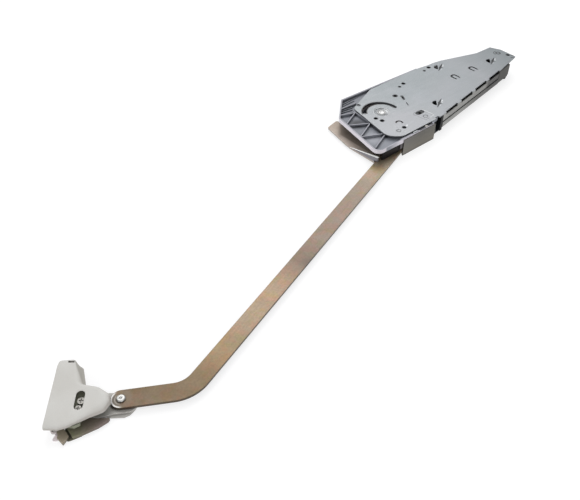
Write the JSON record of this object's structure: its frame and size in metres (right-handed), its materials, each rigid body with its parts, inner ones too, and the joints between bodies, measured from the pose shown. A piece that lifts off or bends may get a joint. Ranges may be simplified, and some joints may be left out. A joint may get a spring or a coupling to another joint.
{
  "type": "flap lift fitting",
  "caption": "Flap lift fitting for a folding cupboard flap: tapered spring power unit, long dog-leg lever arm of flat bar, and a door bracket with a plastic cap.",
  "frame": {"origin": "where the arm pivot axis meets the mounting face (the outer face of the mounting plate, against the cupboard side)", "axes": "+Z outward normal of the mounting face, +X along the power unit towards its narrow end, which is the back of the cupboard; -Y is up in use"},
  "size_m": [0.8679, 0.2747, 0.0275],
  "materials": {
    "zinc_steel": "zinc plated sheet steel",
    "housing_plastic": "moulded blue-grey plastic",
    "cover_steel": "dull plated steel",
    "channel_steel": "plated sheet steel",
    "black_plastic": "black plastic",
    "bright_steel": "bright plated steel",
    "arm_steel": "yellow-bronze plated flat steel",
    "cam_steel": "dark steel",
    "bush_bronze": "bearing bronze",
    "spring_steel": "oiled spring steel",
    "lug_steel": "plated steel",
    "brown_steel": "brown plated steel",
    "cap_plastic": "warm grey plastic"
  },
  "bodies": {
    "unit": {"mount_plate": "zinc_steel", "plastic_housing": "housing_plastic", "side_cover": "cover_steel", "inner_plate": "zinc_steel", "spring_channel": "channel_steel", "bottom_channel": "channel_steel", "black_clip": "black_plastic", "pivot_pin": "bright_steel", "thrust_washer": "bright_steel", "top_spacer": "black_plastic", "screw_sleeves": "bright_steel", "end_block": "channel_steel", "guide_rods": "bright_steel", "damper_cylinder": "black_plastic", "damper_clamp": "channel_steel", "stop_buffer": "black_plastic", "spring_left": "spring_steel", "spring_right": "spring_steel"},
    "arm": {"lever_plate": "arm_steel", "arm_bar": "arm_steel", "arm_rivets": "bright_steel", "cam": "cam_steel", "pivot_bush": "bush_bronze", "stop_pin": "cam_steel"},
    "carriage": {"carriage": "cam_steel", "roller_pin": "bright_steel", "damper_rod": "bright_steel"},
    "roller": {"roller": "cam_steel"},
    "preload": {"preload_plate": "cam_steel"},
    "preload_screw": {"preload_screw": "bright_steel"},
    "bracket": {"end_rivet": "bright_steel", "end_washer": "bright_steel", "hinge_lug": "lug_steel", "bracket_body": "lug_steel", "door_plate": "zinc_steel", "upper_leaf": "zinc_steel", "lower_leaf": "brown_steel", "bracket_cap": "cap_plastic", "clip_pin": "bright_steel"},
    "tilt_screw": {"tilt_screw": "bright_steel"},
    "lock_screw": {"lock_screw": "bright_steel"},
    "release_clip": {"release_clip": "lug_steel"}
  },
  "joints": [
    {"name": "arm_pivot", "type": "hinge", "parent": "unit", "child": "arm", "pos_m": [0, 0, -0.0135], "axis": [0, 0, 1], "range_deg": [-107, 0]},
    {"name": "bracket_pivot", "type": "hinge", "parent": "arm", "child": "bracket", "pos_m": [-0.51709, -0.17299, -0.0215], "axis": [0, 0, 1], "range_deg": [0, 147]},
    {"name": "carriage_slide", "type": "slide", "parent": "unit", "child": "carriage", "axis": [1, 0, 0], "range_m": [0, 0.018], "deforming": ["spring_left", "spring_right"]},
    {"name": "roller_spin", "type": "hinge", "parent": "carriage", "child": "roller", "pos_m": [0.034, 0, -0.015], "axis": [0, 0, 1], "continuous": true},
    {"name": "preload_slide", "type": "slide", "parent": "unit", "child": "preload", "axis": [-1, 0, 0], "range_m": [0, 0.01], "deforming": ["spring_left", "spring_right"]},
    {"name": "preload_turn", "type": "hinge", "parent": "unit", "child": "preload_screw", "pos_m": [0.25, 0, -0.014], "axis": [1, 0, 0], "range_deg": [0, 2880]},
    {"name": "tilt_turn", "type": "hinge", "parent": "bracket", "child": "tilt_screw", "pos_m": [-0.54761, -0.15678, -0.0155], "axis": [0, 0, 1], "range_deg": [-720, 720]},
    {"name": "lock_turn", "type": "hinge", "parent": "bracket", "child": "lock_screw", "pos_m": [-0.55357, -0.1617, -0.0155], "axis": [0, 0, 1], "range_deg": [-720, 720]},
    {"name": "clip_turn", "type": "hinge", "parent": "bracket", "child": "release_clip", "pos_m": [-0.57992, -0.16074, -0.026], "axis": [0, 0, 1], "range_deg": [-25, 0]}
  ],
  "couplings": [
    {"joint": "carriage_slide", "follows": "arm_pivot", "m_per_rad": -0.009638},
    {"joint": "preload_turn", "follows": "preload_slide", "rad_per_m": 5026.5}
  ]
}
